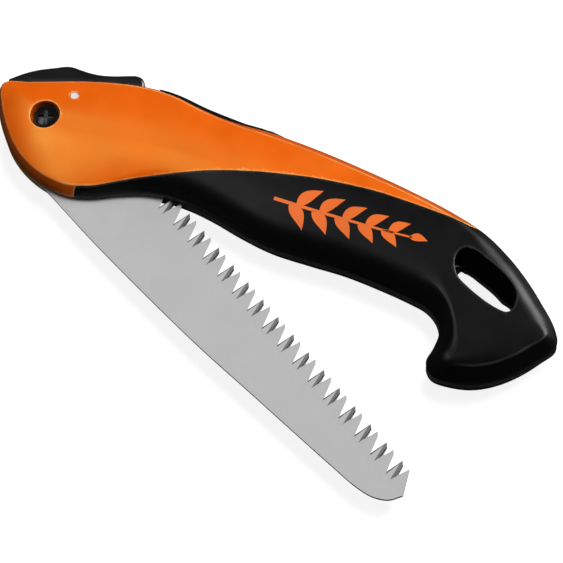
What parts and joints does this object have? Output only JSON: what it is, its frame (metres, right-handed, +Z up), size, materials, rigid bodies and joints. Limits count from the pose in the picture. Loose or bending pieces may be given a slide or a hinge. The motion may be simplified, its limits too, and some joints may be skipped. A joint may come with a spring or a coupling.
{
  "type": "folding pruning saw",
  "caption": "Folding pruning saw with a hooked two-tone grip: a toothed blade swings out of the slot in the handle, with a sprung lock lever over the pivot and a lanyard hole in the hook.",
  "frame": {"origin": "centre of the bounding box's footprint, on the plane that the saw lies on", "axes": "+X along the grip from the pivot end to the hook, +Y towards the back of the handle (lever side), +Z up out of the broad side face; the blade turns in the plane z = 12.5 mm"},
  "size_m": [0.254, 0.121, 0.025],
  "materials": {
    "orange_shell": "satin moulded plastic, fine grain",
    "black_grip": "smooth soft overmould, satin",
    "black_plastic": "moulded, satin",
    "blade_steel": "ground and polished, fine lines across the blade",
    "bright_steel": "turned, bright",
    "black_steel": "black oxide, slightly oily",
    "slip_washer": "natural acetal"
  },
  "bodies": {
    "handle": {"upper_shell": "orange_shell", "lower_shell": "orange_shell", "upper_grip": "black_grip", "lower_grip": "black_grip", "backbone": "black_plastic", "pivot_sleeve": "bright_steel", "pivot_screw": "black_steel", "screw_washer": "bright_steel", "pivot_nut": "black_steel", "stop_pin": "bright_steel", "lever_pin": "bright_steel", "lever_spring": "bright_steel", "upper_washer": "slip_washer", "lower_washer": "slip_washer", "case_screw_1": "black_steel", "case_screw_2": "black_steel", "case_screw_3": "black_steel", "case_screw_4": "black_steel"},
    "blade": {"saw_blade": "blade_steel"},
    "lever": {"lock_lever": "black_plastic", "catch_pin": "bright_steel"}
  },
  "joints": [
    {"name": "blade_hinge", "type": "hinge", "parent": "handle", "child": "blade", "pos_m": [-0.10161, 0.02007, 0.0125], "axis": [0, 0, 1], "range_deg": [-133, 16.4]},
    {"name": "lever_rock", "type": "hinge", "parent": "handle", "child": "lever", "pos_m": [-0.09541, 0.03337, 0.0125], "axis": [0, 0, -1], "range_deg": [0, 8], "stiffness_Nm_per_rad": 0.3, "springref_deg": -17.19, "deforming": ["lever_spring"]}
  ]
}
